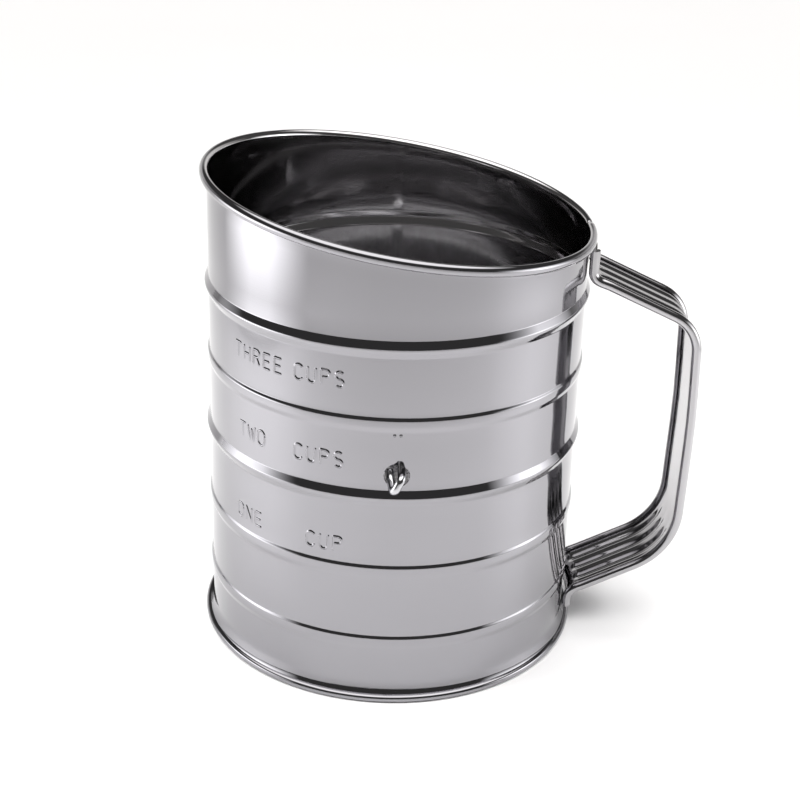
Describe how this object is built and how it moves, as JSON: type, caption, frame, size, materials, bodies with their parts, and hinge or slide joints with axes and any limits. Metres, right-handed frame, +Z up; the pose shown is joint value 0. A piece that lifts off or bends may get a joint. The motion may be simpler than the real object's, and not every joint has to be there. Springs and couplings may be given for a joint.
{
  "type": "flour sifter",
  "caption": "Hand-cranked flour sifter: a sheet-metal can with a slanted mouth and a strap handle, a domed mesh screen and a wire crank that sweeps agitator hoops over it.",
  "frame": {"origin": "on the surface the sifter stands on, in the middle of the whole object's footprint", "axes": "+Z up, +X from the can towards the handle, +Y from the can towards the crank's knob"},
  "size_m": [0.1391, 0.1481, 0.136],
  "materials": {
    "polished_steel": "mirror-polished stainless sheet",
    "strap_steel": "polished stainless strip, rolled edges",
    "woven_steel": "woven stainless wire cloth",
    "band_steel": "plain rolled steel band",
    "bright_wire": "bright drawn wire",
    "hoop_wire": "drawn wire",
    "bush_plastic": "natural nylon",
    "knob_black": "moulded, glossy black",
    "cap_steel": "pressed bright steel"
  },
  "bodies": {
    "can": {"body_shell": "polished_steel", "screen_mesh": "woven_steel", "screen_hoop": "band_steel", "handle_strap": "strap_steel", "crank_bush": "bush_plastic"},
    "crank": {"crank_wire": "bright_wire", "agitator_hoop_left": "hoop_wire", "agitator_hoop_right": "hoop_wire", "knob_push_cap": "cap_steel"},
    "knob": {"crank_knob": "knob_black", "knob_inner_washer": "cap_steel"}
  },
  "joints": [
    {"name": "crank_spin", "type": "hinge", "parent": "can", "child": "crank", "pos_m": [-0.01533, -0.01615, 0.0688], "axis": [0, 1, 0], "continuous": true},
    {"name": "knob_spin", "type": "hinge", "parent": "crank", "child": "knob", "pos_m": [-0.01533, 0.05785, 0.0308], "axis": [0, 1, 0], "continuous": true}
  ]
}
